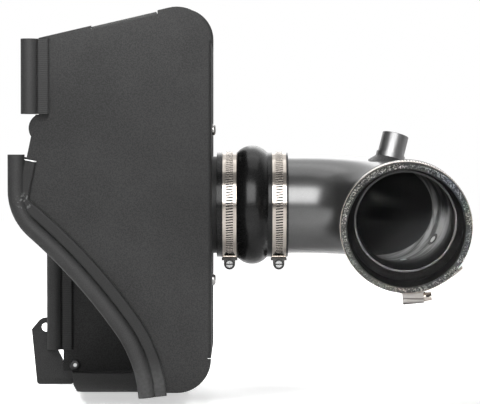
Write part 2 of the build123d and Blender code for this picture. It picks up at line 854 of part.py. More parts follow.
with BuildPart() as throttle_coupler:
    with BuildSketch(coupler_plane):
        with BuildLine():
            Polyline(
                (0, mouth_r),
                (mouth_depth, mouth_r),
                (step_end, grip_bore_r),
                (coupler_length, grip_bore_r),
                (coupler_length, grip_bore_r + coupler_wall),
                (step_end, grip_bore_r + coupler_wall),
                (mouth_depth, mouth_r + coupler_wall),
                (0, mouth_r + coupler_wall),
                close=True,
            )
        make_face()
    revolve(axis=outlet_axis)
    mouth_face = throttle_coupler.faces().sort_by(outlet_axis)[-1]
    fillet(mouth_face.outer_wire().edges(), radius=mouth_rounding)
throttle_coupler.part.label = "throttle_coupler"
export_step(throttle_coupler.part, "parts/throttle_coupler.step")


def slot_planes(plane, radius):
    """Planes under the band's worm slots, each looking out from the clamp's axis."""
    count = int(radians(slot_end_angle - slot_start_angle) * radius / slot_pitch)
    planes = []
    for index in range(count):
        angle = radians(slot_start_angle + down_angle) + index * slot_pitch / radius
        spoke = plane.x_dir * cos(angle) + plane.y_dir * sin(angle)
        foot = plane.origin + spoke * (radius - band_thick)
        planes.append(Plane(origin=foot, x_dir=plane.z_dir, z_dir=spoke))
    return planes


def clamp_band(plane, radius, flat_angle, free_angle):
    """Perforated band round a hose, its screw on the plane's -y side, its tail first flat and then free."""
    tail_r = radius + band_thick
    tail_start = down_angle - tail_back_angle
    tail_arc = tail_back_angle + flat_angle
    lift_r = tail_r * tail_ease_ratio
    lift_angle = free_angle / tail_ease_ratio
    with BuildPart() as band:
        with BuildSketch(plane.offset(-band_width / 2)):
            Circle(radius + band_thick)
            Circle(radius, mode=Mode.SUBTRACT)
            with BuildLine():
                under = CenterArc((0, 0), tail_r, tail_start, tail_arc)
                lift = JernArc(under @ 1, under % 1, lift_r, lift_angle)
                upper = CenterArc((0, 0), tail_r + band_thick, tail_start, tail_arc)
                upper_lift = JernArc(upper @ 1, upper % 1, lift_r + band_thick, lift_angle)
                Line(under @ 0, upper @ 0)
                Line(lift @ 1, upper_lift @ 1)
            make_face()
        extrude(amount=band_width)
        with BuildSketch(*slot_planes(plane, radius)):
            Rectangle(slot_length, slot_width, rotation=slot_slant_angle)
        extrude(amount=slot_reach, mode=Mode.SUBTRACT)
    return band.part


def clamp_housing(plane, radius):
    """Stamped housing over the band's overlap, bored for the worm screw."""
    seat_r = radius + 2 * band_thick + slip
    section = Plane(
        origin=plane.origin - plane.y_dir * seat_r - plane.x_dir * (housing_length / 2),
        x_dir=plane.z_dir * -1,
        z_dir=plane.x_dir,
    )
    with BuildPart() as housing:
        with BuildSketch(section):
            Rectangle(housing_width, 2 * housing_skirt)
            with Locations((0, -worm_lift / 2)):
                Rectangle(2 * housing_arch, worm_lift)
            with Locations((0, -worm_lift)):
                Circle(housing_arch)
        extrude(amount=housing_length)
        with BuildSketch(section):
            with Locations((0, -worm_lift)):
                Circle(worm_r + worm_slip)
        extrude(amount=housing_length, mode=Mode.SUBTRACT)
        with BuildSketch(plane.offset(-housing_width)):
            Circle(seat_r)
        extrude(amount=2 * housing_width, mode=Mode.SUBTRACT)
    return housing.part


def clamp_screw(plane, radius):
    """Worm screw with a collar and a slotted hexagon head on the plane's +x side."""
    lift_r = radius + 2 * band_thick + slip + worm_lift
    section = Plane(
        origin=plane.origin - plane.y_dir * lift_r - plane.x_dir * (housing_length / 2),
        x_dir=plane.z_dir * -1,
        z_dir=plane.x_dir,
    )
    collar_at = housing_length + worm_end_gap
    with BuildPart() as screw:
        with BuildSketch(section.offset(worm_end_gap)):
            Circle(worm_r)
        extrude(amount=housing_length)
        with BuildSketch(section.offset(collar_at)):
            Circle(worm_collar_r)
        extrude(amount=worm_collar)
        with BuildSketch(section.offset(collar_at + worm_collar)):
            RegularPolygon(worm_hex_flats / 2, 6, major_radius=False)
        extrude(amount=worm_hex)
        with BuildSketch(section.offset(collar_at + worm_collar + worm_hex)):
            Rectangle(2 * worm_hex_flats, worm_slot)
        extrude(amount=-worm_slot_depth, mode=Mode.SUBTRACT)
    return screw.part


# Worm clamps: where each sits, which way its screw head points, the radius it grips and its tail
hump_head = Vector(0, -1, 0)
upright = Vector(0, 0, 1)
outlet_right = over.cross(heading)
mouth_turn = radians(mouth_clamp_angle)
mouth_head = outlet_right * cos(mouth_turn) + over * sin(mouth_turn)
mouth_up = over * cos(mouth_turn) - outlet_right * sin(mouth_turn)
long_tail = (tail_flat_angle, tail_lift_angle)
short_tail = (short_tail_angle, short_tail_lift_angle)
neck_r = tube_r + slip + neck_wall
filter_neck_end = flange_face - neck_gap


def clamp_plane(origin, head, up):
    """Plane of a clamp: x to its screw head, y away from its screw."""
    return Plane(origin=origin, x_dir=head, z_dir=head.cross(up))


clamps = {
    "adapter_clamp": (
        clamp_plane(wall + along * adapter_clamp_at, hump_head, upright),
        hose_r + band_slip,
        short_tail,
    ),
    "tube_clamp": (
        clamp_plane(wall + along * tube_clamp_at, hump_head, upright),
        hose_r + band_slip,
        short_tail,
    ),
    "mouth_clamp": (
        clamp_plane(heading * -mouth_clamp_at, mouth_head, mouth_up),
        mouth_r + coupler_wall + band_slip,
        long_tail,
    ),
    "sleeve_clamp": (
        clamp_plane(heading * (sleeve_clamp_in - coupler_length), outlet_right, over),
        grip_bore_r + coupler_wall + band_slip,
        long_tail,
    ),
    "filter_clamp": (
        clamp_plane(wall + along * (filter_neck_end - filter_clamp_in), hump_head, upright),
        neck_r + band_slip,
        long_tail,
    ),
}
for clamp_name, (plane_of_clamp, grip_r, tail_angles) in clamps.items():
    with BuildPart() as clamp_part:
        add(clamp_band(plane_of_clamp, grip_r, *tail_angles))
    clamp_part.part.label = f"{clamp_name}_band"
    export_step(clamp_part.part, f"parts/{clamp_name}_band.step")
    with BuildPart() as clamp_part:
        add(clamp_housing(plane_of_clamp, grip_r))
    clamp_part.part.label = f"{clamp_name}_housing"
    export_step(clamp_part.part, f"parts/{clamp_name}_housing.step")
    with BuildPart() as clamp_part:
        add(clamp_screw(plane_of_clamp, grip_r))
    clamp_part.part.label = f"{clamp_name}_screw"
    export_step(clamp_part.part, f"parts/{clamp_name}_screw.step")

# Cone filter: a rubber base with the neck, a pleated cone and a rubber cap
base_front = filter_neck_end - neck_length
base_back = base_front - filter_base_rim
media_end = base_back - media_length
core_r = filter_base_r - pleat_depth - media_thick
core_tip_r = filter_tip_r - pleat_depth - media_thick

with BuildPart() as filter_base:
    with BuildSketch(front_plane(0)):
        with BuildLine():
            Polyline(
                (filter_neck_end, tube_r + slip),
                (filter_neck_end, neck_r),
                (base_front, neck_r),
                (base_front, filter_base_r),
                (base_back, filter_base_r),
                (base_back, tube_r + slip),
                close=True,
            )
        make_face()
        fillet(vertices().group_by(Axis.Y)[-1], radius=cap_overhang)
    revolve(axis=inlet_axis)
filter_base.part.label = "filter_base"
export_step(filter_base.part, "parts/filter_base.step")


def pleat_star(radius):
    """Zigzag outline of the pleats in the current BuildLine, its tips on a radius."""
    points = []
    for index in range(2 * pleats):
        reach = radius - pleat_depth * (index % 2)
        points.append((reach * cos(index * pi / pleats), reach * sin(index * pi / pleats)))
    Polyline(*points, close=True)


with BuildPart() as filter_media:
    with BuildSketch(cross_plane(base_back)):
        with BuildLine():
            pleat_star(filter_base_r - cap_overhang)
        make_face()
    with BuildSketch(cross_plane(media_end)):
        with BuildLine():
            pleat_star(filter_tip_r - cap_overhang)
        make_face()
    loft(ruled=True)
    with BuildSketch(cross_plane(base_back)):
        Circle(core_r)
    with BuildSketch(cross_plane(media_end)):
        Circle(core_tip_r)
    loft(mode=Mode.SUBTRACT)
filter_media.part.label = "filter_media"
export_step(filter_media.part, "parts/filter_media.step")

with BuildPart() as filter_cap:
    with BuildSketch(cross_plane(media_end)):
        Circle(filter_tip_r)
    extrude(amount=-cap_length)
    fillet(filter_cap.edges().filter_by(GeomType.CIRCLE).sort_by(Axis.X)[0], radius=cap_rounding)
filter_cap.part.label = "filter_cap"
export_step(filter_cap.part, "parts/filter_cap.step")
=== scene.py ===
import math

import bpy
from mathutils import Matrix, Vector


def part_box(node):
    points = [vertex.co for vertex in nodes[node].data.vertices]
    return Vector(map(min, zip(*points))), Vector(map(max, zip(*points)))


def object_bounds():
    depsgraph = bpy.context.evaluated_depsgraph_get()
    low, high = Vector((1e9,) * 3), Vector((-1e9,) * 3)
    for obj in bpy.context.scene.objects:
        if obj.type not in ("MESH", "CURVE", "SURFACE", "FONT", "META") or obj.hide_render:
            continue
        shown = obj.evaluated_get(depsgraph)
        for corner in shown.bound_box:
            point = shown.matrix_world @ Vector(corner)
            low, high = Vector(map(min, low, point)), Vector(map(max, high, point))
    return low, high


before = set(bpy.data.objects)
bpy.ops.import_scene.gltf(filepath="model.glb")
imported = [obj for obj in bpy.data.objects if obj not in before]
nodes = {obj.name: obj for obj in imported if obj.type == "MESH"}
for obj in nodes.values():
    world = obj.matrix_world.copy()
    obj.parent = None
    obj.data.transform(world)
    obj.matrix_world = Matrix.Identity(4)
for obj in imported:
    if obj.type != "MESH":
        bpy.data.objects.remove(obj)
cad_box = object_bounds()

# Places that the camera, the lamps and some finishes need, read from the CAD pieces. Lengths are in
# metres, and the origin is the centre of the coupler's mouth
HOSE_FROM_WALL = 0.0043
AIM_FROM_WALL = 0.0255
AIM_ABOVE_AXIS = 0.0025
MOUTH_FROM_AIM = Vector((0.14, -0.17, -0.02))
hose_low, hose_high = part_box("hump_hose")
axis_y = (hose_low.y + hose_high.y) / 2
axis_z = (hose_low.z + hose_high.z) / 2
wall_x = hose_low.x - HOSE_FROM_WALL
aim = Vector((wall_x + AIM_FROM_WALL, axis_y, axis_z + AIM_ABOVE_AXIS))
mouth = aim + MOUTH_FROM_AIM
floor_z = cad_box[0][2]

# Bend of the tube: its plane leans down towards the viewer
DROOP = math.radians(6.0)
BEND_ANGLE = math.radians(93.4)
BEND_RADIUS = 0.0889
BEND_FROM_WALL = 0.0817
toward = Vector((0, -math.cos(DROOP), -math.sin(DROOP)))
over = Vector((0, -math.sin(DROOP), math.cos(DROOP)))
heading = Vector((1, 0, 0)) * math.cos(BEND_ANGLE) + toward * math.sin(BEND_ANGLE)
bend_centre = Vector((wall_x + BEND_FROM_WALL, axis_y, axis_z)) + toward * BEND_RADIUS

# Bosses: how far along the bend they stand, and how far down from its outer side
BOSS_TURN = math.radians(72.0)
BOSS_ANGLES = [math.radians(36.0), math.radians(82.0)]

# Parts of a noise's range over which a fine grain and a broad pattern turn from dark to light
GRAIN_RANGE = (0.34, 0.66)
BROAD_RANGE = (0.3, 0.7)
CLOUD_SCALE = 14.0

# A face whose normal is this close to a direction looks that way
FACING = 0.9


def put(tree, node, inputs):
    """Set a node's sockets, by name or number, to a value or to another node's socket."""
    for key, value in inputs.items():
        if isinstance(value, bpy.types.NodeSocket):
            tree.links.new(value, node.inputs[key])
        else:
            node.inputs[key].default_value = value


def add(tree, kind, inputs=None, **settings):
    """New shader node."""
    made = tree.nodes.new("ShaderNode" + kind)
    for key, value in settings.items():
        setattr(made, key, value)
    put(tree, made, inputs or {})
    return made


def grey(value, warm=0.0):
    """Linear grey, a little warmer."""
    return (value * (1 + warm), value, value * (1 - warm), 1)


def calc(tree, operation, a, b=0.0):
    return add(tree, "Math", {0: a, 1: b}, operation=operation).outputs[0]


def vector_calc(tree, operation, inputs, output="Vector"):
    return add(tree, "VectorMath", inputs, operation=operation).outputs[output]


def minus(tree, a, b):
    return vector_calc(tree, "SUBTRACT", {0: a, 1: b})


def dot(tree, a, b):
    return vector_calc(tree, "DOT_PRODUCT", {0: a, 1: b}, "Value")


def scaled(tree, vector, factor):
    return vector_calc(tree, "SCALE", {0: vector, 3: factor})


def distance(tree, a, b):
    return vector_calc(tree, "DISTANCE", {0: a, 1: b}, "Value")


def length(tree, vector):
    return vector_calc(tree, "LENGTH", {0: vector}, "Value")


def from_y_line(tree, place, point):
    """Distance from the line along Y through a point."""
    return length(tree, vector_calc(tree, "MULTIPLY", {0: minus(tree, place, point), 1: (1, 0, 1)}))


def mix_colour(tree, factor, a, b):
    return add(tree, "Mix", {0: factor, 6: a, 7: b}, data_type="RGBA").outputs[2]


def mix_value(tree, factor, a, b):
    return add(tree, "Mix", {0: factor, 2: a, 3: b}, data_type="FLOAT").outputs[0]


def greys(tree, factor, dark, light, warm=0.0):
    """Colour between two greys."""
    return mix_colour(tree, factor, grey(dark, warm), grey(light, warm))


def ramp(tree, value, low, high):
    """Smooth step from 0 at low to 1 at high."""
    inputs = {"Value": value, "From Min": low, "From Max": high}
    return add(tree, "MapRange", inputs, interpolation_type="SMOOTHSTEP").outputs[0]


def fall(tree, value, low, high):
    """Smooth step from 1 at low to 0 at high."""
    return calc(tree, "SUBTRACT", 1.0, ramp(tree, value, low, high))


def object_place(tree):
    return add(tree, "TexCoord").outputs["Object"]


def part_of(tree, vector, axis):
    return add(tree, "SeparateXYZ", {"Vector": vector}).outputs[axis]


def noise(tree, scale, detail=2.0, stretch=(1, 1, 1)):
    """Noise over the object's own place, in features per metre."""
    spread = add(tree, "Mapping", {"Vector": object_place(tree), "Scale": stretch}).outputs[0]
    return add(tree, "TexNoise", {"Vector": spread, "Scale": scale, "Detail": detail}).outputs[0]


def wave(tree, direction, scale, distortion=0.0):
    """Regular bands across a direction."""
    inputs = {"Vector": object_place(tree), "Scale": scale, "Distortion": distortion}
    return add(tree, "TexWave", inputs, bands_direction=direction).outputs["Fac"]


def material(name):
    mat = bpy.data.materials.new(name)
    mat.use_nodes = True
    tree = mat.node_tree
    return mat, tree, tree.nodes["Principled BSDF"]


def bump(tree, bsdf, height, strength, depth, rounding=0.0):
    """Bump from a height; the rounding softens how sharp edges catch the light."""
    made = add(tree, "Bump", {"Height": height, "Strength": strength, "Distance": depth})
    if rounding:
        edge = add(tree, "Bevel", {"Radius": rounding}, samples=4)
        put(tree, made, {"Normal": edge.outputs[0]})
    put(tree, bsdf, {"Normal": made.outputs[0]})


def grained(name, dark, light, scale, rough, relief, rounding=0.0, specular=0.4):
    """Non-metal with a fine grain in its colour, roughness and surface, under a faint cloud."""
    rough_spread = 0.06
    mat, tree, bsdf = material(name)
    fine = noise(tree, scale, 3.0)
    grain = ramp(tree, fine, *GRAIN_RANGE)
    cloud = greys(tree, ramp(tree, noise(tree, CLOUD_SCALE), *BROAD_RANGE), 0.9, 1.1)
    tinted = add(tree, "Mix", {0: 1.0, 6: greys(tree, grain, dark, light), 7: cloud},
                 data_type="RGBA", blend_type="MULTIPLY")
    put(tree, bsdf, {
        "Base Color": tinted.outputs[2],
        "Roughness": mix_value(tree, grain, rough + rough_spread, rough - rough_spread),
        "Specular IOR Level": specular,
    })
    bump(tree, bsdf, fine, relief, 0.0004, rounding)
    return mat


def brushed(name, colour, rough, scale=700.0, stretch=(1.0, 1.0, 1.0), rounding=0.0):
    """Bare metal with fine marks, drawn out along the directions that the stretch makes small."""
    mark_tone = 0.82
    rough_spread = 0.08
    rough_scale = 30.0
    mat, tree, bsdf = material(name)
    marks = noise(tree, scale, 4.0, stretch)
    marks_and_shade = [c * mark_tone for c in colour[:3]] + [1]
    patches = noise(tree, rough_scale)
    put(tree, bsdf, {
        "Base Color": mix_colour(tree, ramp(tree, marks, *BROAD_RANGE), marks_and_shade, colour),
        "Roughness": mix_value(tree, patches, rough - rough_spread, rough + rough_spread),
        "Metallic": 1.0,
    })
    bump(tree, bsdf, marks, 0.12, 0.0002, rounding)
    return mat


def beside_boss(tree):
    """Height along the nearer boss, from the tube's centre line, and distance from its axis."""
    position = add(tree, "NewGeometry").outputs["Position"]
    outward = Vector((1, 0, 0)) * math.sin(BOSS_TURN) - toward * math.cos(BOSS_TURN)
    place = minus(tree, position, bend_centre + outward * BEND_RADIUS)
    heights = []
    distances = []
    for angle in BOSS_ANGLES:
        axis = outward * math.cos(angle) - over * math.sin(angle)
        heights.append(dot(tree, place, axis))
        distances.append(distance(tree, place, scaled(tree, axis, heights[-1])))
    first = calc(tree, "LESS_THAN", distances[0], distances[1])
    height = mix_value(tree, first, heights[1], heights[0])
    return height, calc(tree, "MINIMUM", distances[0], distances[1])


def tube_finish():
    """Gloss gunmetal outside. Inside it goes by the depth behind the mouth: dark at the tube's end,
    bare drawn metal between with a painted shadow round each boss, and matte dark beyond."""
    end_depth = -0.05
    end_dark_depths = (-0.096, -0.07)
    end_dark_ragged = 0.016
    deep_dark_depths = (-0.1348, -0.1332)
    streaked_turn = (0.85, 1.15)
    boss_shadow_radius = (0.0056, 0.0064)
    boss_shadow_height = 0.02
    mat, tree, bsdf = material("tube_finish")
    geometry = add(tree, "NewGeometry").outputs

    # Place round the bend: above its plane, along it, and from the tube's centre line
    place = minus(tree, geometry["Position"], bend_centre)
    rise = dot(tree, place, over)
    flat = minus(tree, place, scaled(tree, over, rise))
    ring = vector_calc(tree, "NORMALIZE", {0: flat})
    spoke = minus(tree, place, scaled(tree, ring, BEND_RADIUS))
    turn = calc(tree, "ARCTAN2", dot(tree, ring, (1, 0, 0)), dot(tree, ring, -toward))
    reach = dot(tree, geometry["Position"], heading)

    # Side of the wall
    at_mouth = calc(tree, "GREATER_THAN", reach, end_depth)
    ahead = calc(tree, "GREATER_THAN", dot(tree, geometry["Normal"], heading), FACING)
    cut_end = calc(tree, "MULTIPLY", at_mouth, ahead)
    inward = calc(tree, "LESS_THAN", dot(tree, spoke, geometry["Normal"]), 0.0)
    inside = calc(tree, "MAXIMUM", inward, cut_end)

    # Outside coat with its flakes, and streaks of the bare metal along the bend
    coat = greys(tree, ramp(tree, noise(tree, 2600.0), 0.35, 0.7), 0.08, 0.115)
    drawn = add(tree, "CombineXYZ", {0: turn, 1: calc(tree, "MULTIPLY", rise, 2.0)}).outputs[0]
    streak = add(tree, "TexNoise", {"Vector": drawn, "Scale": 16.0, "Detail": 4.0}).outputs[0]
    wear_and_highlight = mix_value(tree, ramp(tree, turn, *streaked_turn), 0.5, streak)
    bare = greys(tree, ramp(tree, wear_and_highlight, 0.38, 0.62), 0.04, 0.28)

    # Darker inside near the tube's end and deep in, and a painted shadow on the wall round each
    # boss
    ragged = calc(tree, "ADD", reach, calc(tree, "MULTIPLY", streak, end_dark_ragged))
    end_darkened = ramp(tree, ragged, *end_dark_depths)
    deep = fall(tree, reach, *deep_dark_depths)
    darker_inside = calc(tree, "MAXIMUM", end_darkened, deep)
    inside_tone = mix_colour(tree, darker_inside, bare, greys(tree, deep, 0.013, 0.008))
    height, away = beside_boss(tree)
    # Painted shadow: the inside wall is dark in a ring round each boss
    painted_boss_shadow = calc(tree, "MULTIPLY", fall(tree, away, *boss_shadow_radius),
                 calc(tree, "GREATER_THAN", height, boss_shadow_height))
    marks_and_shade = mix_colour(tree, painted_boss_shadow, inside_tone, grey(0.015))
    bore = mix_colour(tree, cut_end, marks_and_shade, grey(0.05))
    put(tree, bsdf, {
        "Base Color": mix_colour(tree, inside, coat, bore),
        "Roughness": mix_value(tree, inside, 0.3, mix_value(tree, deep, 0.42, 0.8)),
        "Metallic": mix_value(tree, inside, 0.9, mix_value(tree, deep, 0.45, 0.0)),
        "Coat Weight": mix_value(tree, inside, 0.9, 0.0),
        "Coat Roughness": 0.2,
    })
    bump(tree, bsdf, mix_value(tree, inside, 0.5, wear_and_highlight), 0.08, 0.0003)
    return mat


def coupler_finish():
    """Black silicone; outside its liner, the cut end shows the pale threads of the fabric plies."""
    end_depth = -0.002
    liner_radius = (0.0508, 0.0516)
    mat, tree, bsdf = material("coupler_finish")
    geometry = add(tree, "NewGeometry").outputs
    reach = dot(tree, geometry["Position"], heading)
    radius = distance(tree, geometry["Position"], scaled(tree, heading, reach))
    ahead = calc(tree, "GREATER_THAN", dot(tree, geometry["True Normal"], heading), FACING)
    end = calc(tree, "MULTIPLY", ahead, calc(tree, "GREATER_THAN", reach, end_depth))
    cut = calc(tree, "MULTIPLY", end, ramp(tree, radius, *liner_radius))
    fine = noise(tree, 1500.0)
    body = greys(tree, fine, 0.004, 0.009)
    specks = ramp(tree, noise(tree, 800.0, 3.0), 0.5, 0.6)
    threads = mix_colour(tree, specks, grey(0.008), grey(0.15, 0.05))
    put(tree, bsdf, {
        "Base Color": mix_colour(tree, cut, body, threads),
        "Roughness": 0.55,
        "Specular IOR Level": 0.06,
    })
    bump(tree, bsdf, fine, 0.2, 0.0003)
    return mat


def media_finish():
    """Cotton gauze under a woven wire screen."""
    mat, tree, bsdf = material("media_finish")
    weave = noise(tree, 700.0, 3.0)
    screen = 0.0
    for direction in ("X", "Y", "Z"):
        wires = ramp(tree, wave(tree, direction, 120.0, 0.3), 0.86, 0.97)
        screen = calc(tree, "MAXIMUM", screen, wires)
    gauze = greys(tree, weave, 0.3, 0.5, 0.03)
    put(tree, bsdf, {
        "Base Color": mix_colour(tree, screen, gauze, grey(0.42)),
        "Metallic": calc(tree, "MULTIPLY", screen, 0.8),
        "Roughness": 0.7,
    })
    bump(tree, bsdf, calc(tree, "ADD", weave, screen), 0.35, 0.0004)
    return mat


def weld_finish():
    """Bare weld bead with its ripples."""
    mat, tree, bsdf = material("weld_finish")
    ripple = wave(tree, "DIAGONAL", 220.0, 2.0)
    put(tree, bsdf, {
        "Base Color": greys(tree, ripple, 0.03, 0.16),
        "Metallic": 1.0,
        "Roughness": 0.38,
    })
    bump(tree, bsdf, ripple, 0.5, 0.0006)
    return mat


def ends_with_painted_light(tree, bottom, cut_normal, grain, colour, height):
    """Colour and height of a seal with a painted highlight on its cut end, creases by that end with
    painted highlights on their ridges, and painted bounce light from the floor on its low end."""
    cut_facing = 0.97
    crease_at = (wall_x - 0.1637, 0.0, axis_z + 0.0045)
    crease_radius = (0.004, 0.009)
    crease_height = 4.0
    painted_bounce_level = (bottom + 0.012, bottom + 0.04)
    place = object_place(tree)
    normal = add(tree, "NewGeometry").outputs["True Normal"]
    cut = calc(tree, "GREATER_THAN", dot(tree, normal, cut_normal), cut_facing)
    # Painted highlight: the cut end is pale
    colour = mix_colour(tree, cut, colour, greys(tree, grain, 0.75, 0.85))
    folds = noise(tree, 330.0)
    crease = fall(tree, from_y_line(tree, place, crease_at), *crease_radius)
    fold_height = calc(tree, "MULTIPLY", crease, calc(tree, "MULTIPLY", folds, crease_height))
    height = calc(tree, "ADD", height, fold_height)
    # Painted highlights on the ridges of the creases
    wear_and_highlight = calc(tree, "MULTIPLY", crease, ramp(tree, folds, 0.52, 0.62))
    colour = mix_colour(tree, wear_and_highlight, colour, grey(0.14))
    # Painted bounce light from the floor: the seal is paler towards its low end
    painted_bounce_tone = greys(tree, ramp(tree, folds, *BROAD_RANGE), 0.06, 0.074)
    painted_bounce = fall(tree, part_of(tree, place, "Z"), *painted_bounce_level)
    return mix_colour(tree, painted_bounce, colour, painted_bounce_tone), height


def seal_finish(node, ribs=0.0, cut_normal=None):
    """Rubber with a painted highlight on the crown of its bulb. It has ribs across its channel,
    with painted highlights along them, or creased ends with painted light and a cut that faces the
    given normal."""
    rib_highlight_strength = 0.7
    mat, tree, bsdf = material(node + "_rubber")
    low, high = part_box(node)
    middle = (low.y + high.y) / 2
    half = high.y - middle
    depth = part_of(tree, object_place(tree), "Y")
    off = calc(tree, "ABSOLUTE", calc(tree, "SUBTRACT", depth, middle))
    crown = ramp(tree, off, half * 0.5, half)
    fine = noise(tree, 1300.0, 3.0)
    grain = ramp(tree, fine, *GRAIN_RANGE)
    dark = greys(tree, grain, 0.023, 0.031)
    pale = greys(tree, grain, 0.038, 0.05)
    # Painted highlight: the crown, the parts of the bulb farthest to the front and back, is paler
    colour = mix_colour(tree, crown, dark, pale)
    height = fine
    if ribs:
        bands = wave(tree, "Z", ribs)
        height = mix_value(tree, crown, bands, fine)
        # Painted highlights along the ribs' ridges on the channel
        painted_rib_highlight = calc(tree, "MULTIPLY", bands, mix_value(tree, crown, rib_highlight_strength, 0.0))
        colour = mix_colour(tree, painted_rib_highlight, colour, pale)
    if cut_normal:
        colour, height = ends_with_painted_light(tree, low.z, cut_normal, grain, colour, height)
    put(tree, bsdf, {
        "Base Color": colour,
        "Roughness": mix_value(tree, grain, 0.54, 0.44),
        "Specular IOR Level": 0.15,
    })
    bump(tree, bsdf, height, 0.25, 0.0004)
    return mat


def boss_finish():
    """Bare bosses whose ends inside the tube carry a painted shadow round a bright centre."""
    end_height = 0.0436
    end_radius = 0.0054
    centre_radius = (0.0028, 0.0034)
    mat, tree, bsdf = material("boss_finish")
    height, away = beside_boss(tree)
    at_end = calc(tree, "MULTIPLY", calc(tree, "LESS_THAN", height, end_height),
                  calc(tree, "LESS_THAN", away, end_radius))
    # Painted shadow: the end face is dark round its bright centre
    dark = calc(tree, "MULTIPLY", at_end, ramp(tree, away, *centre_radius))
    grain = noise(tree, 600.0)
    put(tree, bsdf, {
        "Base Color": mix_colour(tree, dark, greys(tree, grain, 0.45, 0.58), grey(0.012)),
        "Metallic": mix_value(tree, dark, 0.3, 0.0),
        "Roughness": 0.4,
    })
    bump(tree, bsdf, grain, 0.1, 0.0002)
    return mat


def screw_finish():
    """Black flange round a bright drive, told apart by the distance from the screw's axis."""
    drive_radius = 0.0018
    mat, tree, bsdf = material("screw_finish")
    low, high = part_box("bracket_screw")
    away = from_y_line(tree, object_place(tree), (low + high) / 2)
    drive = calc(tree, "LESS_THAN", away, drive_radius)
    grain = noise(tree, 900.0)
    black = greys(tree, grain, 0.02, 0.035)
    bright = greys(tree, grain, 0.65, 0.8)
    put(tree, bsdf, {
        "Base Color": mix_colour(tree, drive, black, bright),
        "Metallic": mix_value(tree, drive, 0.0, 0.6),
        "Roughness": 0.4,
    })
    bump(tree, bsdf, grain, 0.1, 0.0002)
    return mat


def painted_shade_worm(node):
    """Bright hexagon head with painted shade in its slot, round its rim and behind it, for a clamp
    screw that points at the viewer."""
    face_depth = 0.0004
    rim_radius = (0.0027, 0.0034)
    mat, tree, bsdf = material(node + "_finish")
    low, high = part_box(node)
    place = object_place(tree)
    depth = calc(tree, "SUBTRACT", part_of(tree, place, "Y"), low.y)
    deep = calc(tree, "GREATER_THAN", depth, face_depth)
    rim = ramp(tree, from_y_line(tree, place, (low + high) / 2), *rim_radius)
    # Painted shade: dark in the slot, round the rim and behind the head's face
    dark = calc(tree, "MAXIMUM", deep, rim)
    grain = noise(tree, 700.0)
    put(tree, bsdf, {
        "Base Color": mix_colour(tree, dark, greys(tree, grain, 0.5, 0.68), grey(0.06)),
        "Metallic": 1.0,
        "Roughness": 0.26,
    })
    bump(tree, bsdf, grain, 0.15, 0.0003)
    return mat


def painted_shade_housing(node):
    """Stamped steel with painted shade in a pressed line along its side and along its lower edge.
    """
    line_level = 0.42
    line_width = (0.02, 0.08)
    edge_level = (0.1, 0.2)
    mat, tree, bsdf = material(node + "_finish")
    low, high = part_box(node)
    rise = calc(tree, "SUBTRACT", part_of(tree, object_place(tree), "Z"), low.z)
    level = calc(tree, "DIVIDE", rise, high.z - low.z)
    off = calc(tree, "ABSOLUTE", calc(tree, "SUBTRACT", level, line_level))
    # Painted shade: dark in the pressed line and along the lower edge
    clear = calc(tree, "MINIMUM", ramp(tree, off, *line_width), ramp(tree, level, *edge_level))
    metal = greys(tree, noise(tree, 700.0), 0.36, 0.44, 0.05)
    put(tree, bsdf, {
        "Base Color": mix_colour(tree, clear, grey(0.13, 0.08), metal),
        "Metallic": 1.0,
        "Roughness": 0.3,
    })
    bump(tree, bsdf, clear, 0.4, 0.0004, 0.001)
    return mat


# One finish for each CAD piece; the bands and the other clamp screws are clamp_steel
RIB_SCALE = 174.0
LOWER_SEAL_CUT = (0.196, -0.292, 0.936)
ALONG_BAND = (1.0, 0.1, 0.1)
ALONG_NIPPLE = (1.0, 1.0, 0.1)
shield_coat = grained("shield_coat", 0.036, 0.051, 1000.0, 0.62, 0.22, 0.0006, specular=0.06)
bracket_coat = grained("bracket_coat", 0.031, 0.043, 1100.0, 0.55, 0.2, 0.0006, specular=0.25)
hose_rubber = grained("hose_rubber", 0.005, 0.009, 1400.0, 0.24, 0.08, specular=0.3)
adapter_plastic = grained("adapter_plastic", 0.018, 0.028, 1200.0, 0.45, 0.1)
filter_rubber = grained("filter_rubber", 0.014, 0.024, 1200.0, 0.5, 0.12)
clamp_steel = brushed("clamp_steel", grey(0.5, 0.1), 0.16, stretch=ALONG_BAND, rounding=0.0003)
housing_steel = brushed("housing_steel", grey(0.4, 0.05), 0.3, rounding=0.002)
# A dark copy of the steel, as painted shade, for the adapter's and tube's clamp housings
shaded_steel = brushed("shaded_steel", grey(0.09, 0.03), 0.4, rounding=0.0003)
screw_steel = brushed("screw_steel", grey(0.6, 0.02), 0.28, scale=600.0, rounding=0.0004)
nipple_metal = brushed("nipple_metal", grey(0.31), 0.42, scale=420.0, stretch=ALONG_NIPPLE)
finishes = {
    "heat_shield": shield_coat,
    "upper_edge_seal": seal_finish("upper_edge_seal", ribs=RIB_SCALE),
    "lower_edge_seal": seal_finish("lower_edge_seal", cut_normal=LOWER_SEAL_CUT),
    "back_edge_seal": seal_finish("back_edge_seal", ribs=RIB_SCALE),
    "mounting_bracket": bracket_coat,
    "bracket_screw": screw_finish(),
    "bracket_nut": screw_steel,
    "filter_adapter": adapter_plastic,
    "adapter_screws": screw_steel,
    "adapter_nuts": screw_steel,
    "hump_hose": hose_rubber,
    "intake_tube": tube_finish(),
    "vent_nipple": nipple_metal,
    "vent_weld": weld_finish(),
    "mount_bosses": boss_finish(),
    "throttle_coupler": coupler_finish(),
    "filter_base": filter_rubber,
    "filter_media": media_finish(),
    "filter_cap": filter_rubber,
    "mouth_clamp_housing": painted_shade_housing("mouth_clamp_housing"),
    "sleeve_clamp_housing": housing_steel,
    "filter_clamp_housing": housing_steel,
}
